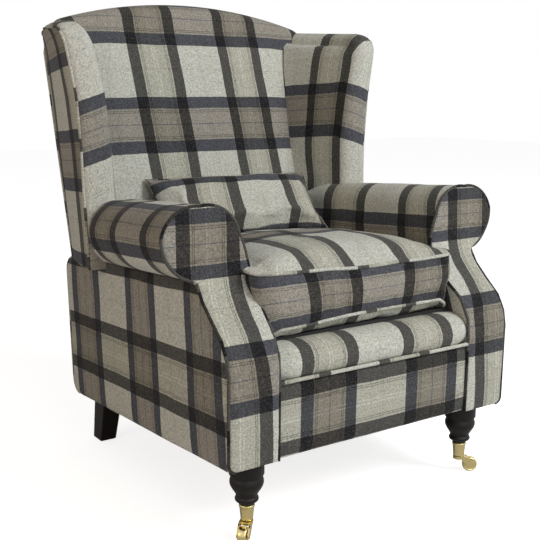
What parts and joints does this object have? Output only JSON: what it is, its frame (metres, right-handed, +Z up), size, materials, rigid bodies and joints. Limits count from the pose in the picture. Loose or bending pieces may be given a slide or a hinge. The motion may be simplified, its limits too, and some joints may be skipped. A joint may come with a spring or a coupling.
{
  "type": "fireside wing armchair",
  "caption": "High-backed fireside armchair with scrolled arms, wings, a loose seat cushion and pillow, turned front legs on brass castors and tapered rear legs.",
  "frame": {"origin": "on the floor, under the middle of the chair's overall box", "axes": "+X to the viewer's right when facing the chair, +Y to the rear, +Z up"},
  "size_m": [0.8262, 0.8391, 1.0399],
  "materials": {
    "check_cloth": "woven wool check",
    "frame_wood": "planed beech",
    "leg_wood": "black stained satin lacquer",
    "brass": "polished",
    "steel": "zinc plated",
    "webbing": "elastic webbing",
    "dust_cloth": "black lining cloth"
  },
  "bodies": {
    "chair": {"arm_facing_left": "check_cloth", "arm_facing_right": "check_cloth", "arm_pad_left": "check_cloth", "arm_pad_right": "check_cloth", "arm_rail_left": "frame_wood", "arm_rail_right": "frame_wood", "arm_stump_left": "frame_wood", "arm_stump_right": "frame_wood", "back_middle_rail": "frame_wood", "back_post_left": "frame_wood", "back_post_right": "frame_wood", "back_rail": "frame_wood", "back_top_rail": "frame_wood", "back_webbing": "webbing", "castor_cup_left": "brass", "castor_cup_right": "brass", "dust_cover": "dust_cloth", "front_border": "check_cloth", "front_corner_block_left": "frame_wood", "front_corner_block_right": "frame_wood", "front_leg_bolt_left": "steel", "front_leg_bolt_right": "steel", "front_leg_left": "leg_wood", "front_leg_right": "leg_wood", "front_lip": "check_cloth", "front_rail": "frame_wood", "inside_back": "check_cloth", "lower_rear_panel": "check_cloth", "outside_arm_left": "check_cloth", "outside_arm_right": "check_cloth", "outside_back": "check_cloth", "rear_corner_block_left": "frame_wood", "rear_corner_block_right": "frame_wood", "rear_leg_bolt_left": "steel", "rear_leg_bolt_right": "steel", "rear_leg_left": "leg_wood", "rear_leg_right": "leg_wood", "seat_deck": "check_cloth", "seat_webbing": "webbing", "side_rail_left": "frame_wood", "side_rail_right": "frame_wood", "wing_frame_left": "frame_wood", "wing_frame_right": "frame_wood", "wing_outer_left": "check_cloth", "wing_outer_right": "check_cloth", "wing_pad_left": "check_cloth", "wing_pad_right": "check_cloth"},
    "seat_cushion": {"seat_cushion": "check_cloth"},
    "back_pillow": {"back_pillow": "check_cloth"},
    "castor_left": {"castor_horn_left": "brass", "castor_axle_left": "brass"},
    "wheel_left": {"castor_wheel_left": "brass"},
    "castor_right": {"castor_horn_right": "brass", "castor_axle_right": "brass"},
    "wheel_right": {"castor_wheel_right": "brass"}
  },
  "joints": [
    {"name": "seat_cushion_lift", "type": "slide", "parent": "chair", "child": "seat_cushion", "axis": [0, -0.866, 0.5], "range_m": [0, 0.62]},
    {"name": "back_pillow_lift", "type": "slide", "parent": "seat_cushion", "child": "back_pillow", "axis": [0, -0.5, 0.866], "range_m": [0, 0.5]},
    {"name": "castor_swivel_left", "type": "hinge", "parent": "chair", "child": "castor_left", "pos_m": [-0.279, -0.3631, 0.036], "axis": [0, 0, 1], "continuous": true},
    {"name": "castor_roll_left", "type": "hinge", "parent": "castor_left", "child": "wheel_left", "pos_m": [-0.29758, -0.37982, 0.016], "axis": [0.6691, -0.7431, 0], "continuous": true},
    {"name": "castor_swivel_right", "type": "hinge", "parent": "chair", "child": "castor_right", "pos_m": [0.279, -0.3631, 0.036], "axis": [0, 0, 1], "continuous": true},
    {"name": "castor_roll_right", "type": "hinge", "parent": "castor_right", "child": "wheel_right", "pos_m": [0.30065, -0.3756, 0.016], "axis": [0.5, 0.866, 0], "continuous": true}
  ]
}
